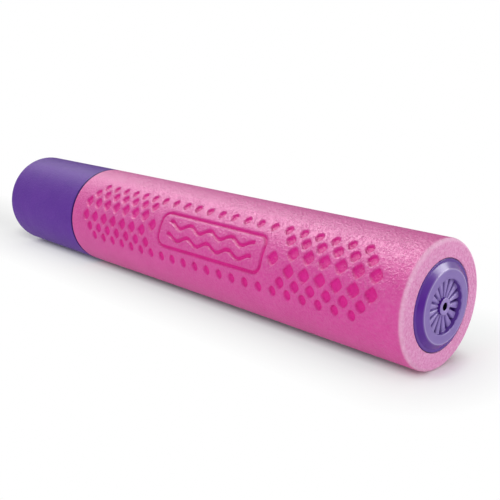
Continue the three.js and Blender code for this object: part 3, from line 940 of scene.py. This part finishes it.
# The front's paler colour is painted light.
face = mixed(tree, surface.outputs["Haze"], *LIT_FACE_PURPLES)
face = mixed(tree, mark(tree, "fins"), face, FIN_LIT_PURPLE)
moulded = mixed(tree, mark(tree, "satin"), wall, face)
feed(tree, shader, {
    "Base Color": tinted(tree, moulded, mark(tree, "edge"), share=0.7, colour=EDGE_HIGHLIGHT_PURPLE),
    "Roughness": ranged(tree, mark(tree, "satin"), UNIT, NOZZLE_GLOSS),
    "IOR": 1.4,
})
nozzle.data.materials.append(nozzle_plastic)

# %% [markdown]
# The hard pieces share one recipe with different colours and gloss: a base colour that haze shifts a little,
# a roughness that haze varies, and orange-peel as bump. A function makes each finish from its few numbers.

# %% Plastics, rubber and steel
HARD_HAZE = 80.0
PEEL_STRENGTH = 0.06
PEEL_DEPTH = 0.1 * MM


def hard_finish(name, dark, light, gloss, peel, metallic=0.0):
    finish, tree, shader = new_finish(name)
    surface = use_group(tree, moulded_skin, {"Peel per metre": peel, "Haze per metre": HARD_HAZE})
    feed(tree, shader, {
        "Base Color": mixed(tree, surface.outputs["Haze"], seen(*dark), seen(*light)),
        "Roughness": ranged(tree, surface.outputs["Haze"], UNIT, gloss),
        "Normal": bumped(tree, surface.outputs["Peel"], PEEL_STRENGTH, PEEL_DEPTH),
        "Metallic": metallic,
    })
    return finish


purple_plastic = hard_finish("purple_plastic", (76, 38, 138), (86, 48, 148), gloss=(0.22, 0.32), peel=900.0)
white_plastic = hard_finish("white_plastic", (226, 226, 223), (236, 236, 234), gloss=(0.28, 0.4), peel=700.0)
grey_plastic = hard_finish("grey_plastic", (196, 198, 200), (208, 210, 212), gloss=(0.42, 0.55), peel=1200.0)
black_rubber = hard_finish("black_rubber", (26, 26, 28), (38, 38, 40), gloss=(0.62, 0.78), peel=1800.0)
steel = hard_finish("steel", (176, 180, 184), (198, 201, 205), gloss=(0.26, 0.4), peel=2400.0, metallic=1.0)

# %% [markdown]
# The solids that aren't dressed with a finer mesh still show here and there: the guide at the sleeve's rear
# end and the handle's flange when the plunger is drawn. Each solid takes the finish of its slot in the
# record, and so do the rod and the end cap.

# %% Give the finishes to the solids
finishes = {
    "pink_foam": pink_foam,
    "purple_foam": purple_foam,
    "purple_plastic": purple_plastic,
    "white_plastic": white_plastic,
    "grey_plastic": grey_plastic,
    "black_rubber": black_rubber,
    "steel": steel,
}
cap.data.materials.append(purple_plastic)
rod.data.materials.append(white_plastic)
for entry in frame["record"]["subparts"]:
    solid = frame["nodes"][entry["node"]]
    solid.data.materials.clear()
    solid.data.materials.append(finishes[entry["material_slot"]])
print("finishes given to", len(frame["nodes"]), "solids")

# %% [markdown]
# The stage is a plain white floor that fades into a white surround. Near the pump the floor is a real diffuse
# surface, which takes the soft contact shadow, and farther off it turns plain white. How white goes by the
# distance from the strip of floor under the pump. Nodes measure it from the floor's own coordinates: the
# distance to the axis, with the length past the pump's ends added. The strip runs on behind the handle, so
# that a drawn plunger keeps its shadow. Behind the nozzle's end the shadow reaches farther, so distance
# counts less there. Each pair of numbers below is where along X something starts and where it ends.

# %% Measure the floor's distance from the pump
AHEAD = (0.163, 1.163)
AHEAD_RATE = 1.4
BEHIND_HANDLE = (-0.175, -0.215)
BEHIND_HANDLE_STEP = 0.018
BEHIND_DRAWN = (-0.36, -1.36)
FAR_SIDE_EASE = (0.05, 0.12)
FAR_SIDE_RATE = 0.6

floor_finish, tree, shader = new_finish("studio_white")
spot = add_node(tree, "ShaderNodeSeparateXYZ", inputs={0: own_place(tree)})
x_spot = spot.outputs["X"]
y_spot = spot.outputs["Y"]
ahead = ranged(tree, x_spot, AHEAD, (0.0, AHEAD_RATE))
behind = ranged(tree, x_spot, BEHIND_DRAWN)
drawn = ranged(tree, x_spot, BEHIND_HANDLE, (0.0, BEHIND_HANDLE_STEP))
past_ends = computed(tree, "ADD", computed(tree, "ADD", ahead, behind), drawn)
near_side = ranged(tree, y_spot, (-1.0, 0.0), (-1.0, 0.0))
far_rate = ranged(tree, x_spot, FAR_SIDE_EASE, (1.0, FAR_SIDE_RATE))
far_side = computed(tree, "MULTIPLY", ranged(tree, y_spot, UNIT), far_rate)
across = computed(tree, "ADD", near_side, far_side)
offset = add_node(tree, "ShaderNodeCombineXYZ", inputs={0: past_ends, 1: across})
length = add_node(tree, "ShaderNodeVectorMath", {"operation": "LENGTH"}, {0: offset.outputs[0]})
away = length.outputs["Value"]

# %% [markdown]
# White paper beside a pink sleeve picks up its pink, and the shadow would look red, while in the photograph
# it is a neutral grey. Close to the sleeve the paper is therefore tinted against it, but only for rays that
# look at the floor. Light that bounces off it still finds plain white paper. The Light Path node tells the
# two kinds of ray apart.

# %% Tint the floor against the pink bounce
PAPER_WHITE = (0.93, 0.93, 0.93, 1.0)
PAPER_TINT = (0.6, 0.93, 0.81, 1.0)
TINT_REACH = (0.02, 0.06)
SLEEVE_STARTS = (-0.1, -0.06)
SLEEVE_STOPS = (0.14, 0.17)
FALLING = (1.0, 0.0)


def looking(tree):
    """1 for rays from the camera, also by way of a reflection or through glass, and 0 for light."""
    path = add_node(tree, "ShaderNodeLightPath")
    found = path.outputs["Is Camera Ray"]
    for kind in ("Is Glossy Ray", "Is Transmission Ray"):
        found = computed(tree, "MAXIMUM", found, path.outputs[kind])
    return found


seen_close = computed(tree, "MULTIPLY", ranged(tree, away, TINT_REACH, FALLING), looking(tree))
by_sleeve = computed(
    tree, "MULTIPLY", ranged(tree, x_spot, SLEEVE_STARTS), ranged(tree, x_spot, SLEEVE_STOPS, FALLING))
tint_share = computed(tree, "MULTIPLY", seen_close, by_sleeve)
feed(tree, shader, {
    "Base Color": mixed(tree, tint_share, PAPER_WHITE, PAPER_TINT),
    "Roughness": 0.9,
    "Specular IOR Level": 0.0,
})
print("paper tint", PAPER_TINT[:3], "within", TINT_REACH[1], "m of the pump's axis")

# %% [markdown]
# The plain white is an emission of strength 1, mixed over the paper for looking rays only, so it sheds no
# light on the pump. Three ramps of distance follow one another: a quick one beside the contact shadow, a
# slow one through its soft edge, and a last one out to full white.

# %% Make the floor
WHITENING = [(0.009, 0.0175, 0.54), (0.0175, 0.026, 0.16), (0.026, 0.055, 0.3)]
PLAIN_WHITE = (1.0, 1.0, 1.0, 1.0)
FLOOR_HALF = 6.0

whiteness = 0.0
for start, end, share in WHITENING:
    whiteness = computed(tree, "ADD", whiteness, ranged(tree, away, (start, end), (0.0, share)))
white = add_node(tree, "ShaderNodeEmission", inputs={"Color": PLAIN_WHITE, "Strength": 1.0})
blend = add_node(tree, "ShaderNodeMixShader", inputs={
    0: computed(tree, "MULTIPLY", whiteness, looking(tree)),
    1: shader.outputs[0],
    2: white.outputs[0],
})
feed(tree, tree.nodes["Material Output"], {"Surface": blend.outputs[0]})


def flat_sheet(name, corners, finish):
    mesh = bpy.data.meshes.new(name)
    mesh.from_pydata(corners, [], [(0, 1, 2, 3)])
    mesh.materials.append(finish)
    sheet = bpy.data.objects.new(name, mesh)
    bpy.context.scene.collection.objects.link(sheet)
    print("sheet", name, "with corners", corners)
    return sheet


floor_corners = [(x * FLOOR_HALF, y * FLOOR_HALF, 0) for x, y in ((-1, -1), (1, -1), (1, 1), (-1, 1))]
floor = flat_sheet("studio_floor", floor_corners, floor_finish)

# %% [markdown]
# A shiny piece shows what stands round it, and in an all-white room it would look chalky. A photographer sets
# black cards just outside the picture, which give the shine its dark places. Four cards do that here: in
# front, at the nozzle's corner, behind the pump and flat on the floor. They show in reflections only, so the
# camera, the diffuse light and the shadows pass them by.

# %% Dark cards
card_finish, tree, shader = new_finish("card_black")
feed(tree, shader, {
    "Base Color": (0.03, 0.03, 0.03, 1.0),
    "Roughness": 0.9,
    "Specular IOR Level": 0.0,
})


def dark_card(name, rear, front, edge, far_edge):
    """A black card along the pump, between two edges given by y and z, that shows in reflections only."""
    corners = [(rear, *edge), (front, *edge), (front, *far_edge), (rear, *far_edge)]
    card = flat_sheet(name, corners, card_finish)
    card.visible_camera = False
    card.visible_diffuse = False
    card.visible_shadow = False


dark_card("dark_card_front", rear=-2.0, front=2.0, edge=(-1.3, 0.0), far_edge=(-1.3, 1.1))
dark_card("dark_card_corner", rear=1.6, front=4.5, edge=(-1.3, 0.0), far_edge=(-1.3, 1.7))
dark_card("dark_card_rear", rear=-1.2, front=0.12, edge=(0.14, 0.0), far_edge=(0.14, 0.2))
dark_card("dark_card_flat", rear=0.2, front=1.6, edge=(-0.08, 0.001), far_edge=(-1.3, 0.001))

# %% [markdown]
# The world closes the room. It is white for the camera and for reflections, so that no horizon line shows,
# and only softly bright as a light, because the lamps are to shape the pump.

# %% Surround
AMBIENT = 0.55
world = bpy.data.worlds.new("studio_surround")
bpy.context.scene.world = world
world.use_nodes = True
tree = world.node_tree
feed(tree, tree.nodes["Background"], {
    "Color": PLAIN_WHITE,
    "Strength": ranged(tree, looking(tree), UNIT, (AMBIENT, 1.0)),
})
print("ambient strength", AMBIENT)

# %% [markdown]
# A few soft boxes light the pump. A low one in front fills the near side without showing as gloss, a weak
# strip overhead presses the shadow down, and a small box lights the nozzle's end. Two more are there for
# gloss alone. A surface shows a lamp where it mirrors it into the camera, so the gloss strip hangs behind
# the handle, and the foam's pale band comes from it. The other one draws the light on the nozzle's wall.

# %% Lamps
def soft_box(name, place, aim, length, width, power):
    lamp = bpy.data.lights.new(name, "AREA")
    lamp.shape = "RECTANGLE"
    lamp.size = length
    lamp.size_y = width
    lamp.energy = power
    holder = bpy.data.objects.new(name, lamp)
    holder.location = place
    holder.rotation_euler = (Vector(place) - Vector(aim)).to_track_quat("Z", "Y").to_euler()
    holder.visible_camera = False
    bpy.context.scene.collection.objects.link(holder)
    print(name, power, "W")
    return holder


pump_middle = (0.0, 0.0, AXIS_Z)
nozzle_middle = (NOZZLE_FACE, 0.0, AXIS_Z)
below_strip = (-0.5, 0.04, 0.0)
soft_box("overhead_strip", (0.05, 0.1, 0.95), pump_middle, length=1.1, width=0.3, power=1.0)
gloss_strip = soft_box("gloss_strip", (-0.5, 0.04, 0.92), below_strip, length=1.1, width=0.36, power=20.5)
gloss_strip.visible_diffuse = False
front_fill = soft_box("front_fill", (0.1, -1.1, 0.14), pump_middle, length=1.0, width=0.5, power=6.0)
front_fill.visible_glossy = False
soft_box("nozzle_kicker", (0.92, 0.42, 0.28), nozzle_middle, length=0.35, width=0.35, power=2.1)
nozzle_gloss = soft_box("nozzle_gloss", (0.76, 0.64, 0.52), nozzle_middle, length=0.6, width=0.4, power=10.5)
nozzle_gloss.visible_diffuse = False

# %% [markdown]
# The camera stands where the photograph's did: in front of the nozzle's corner, a little above the pump. Its
# place was solved from the outlines of the sleeve, the handle and the nozzle, and is given from the centre of
# the sleeve's front face.

# %% Camera
LENS = 55.2
SENSOR_WIDTH = 36.0
CAMERA_FROM_SLEEVE = Vector((168.7, -276.4, 109.2)) * MM
CAMERA_DIRECTION = Vector((-0.6973, 0.6681, -0.2599))

camera_data = bpy.data.cameras.new("view")
camera_data.sensor_width = SENSOR_WIDTH
camera_data.lens = LENS
camera = bpy.data.objects.new("view", camera_data)
camera.location = Vector((SLEEVE_FRONT, 0, AXIS_Z)) + CAMERA_FROM_SLEEVE
camera.rotation_euler = CAMERA_DIRECTION.to_track_quat("-Z", "Y").to_euler()
bpy.context.scene.collection.objects.link(camera)
bpy.context.scene.camera = camera
bpy.context.scene.view_settings.view_transform = "Standard"
print("camera at", [round(value, 4) for value in camera.location])
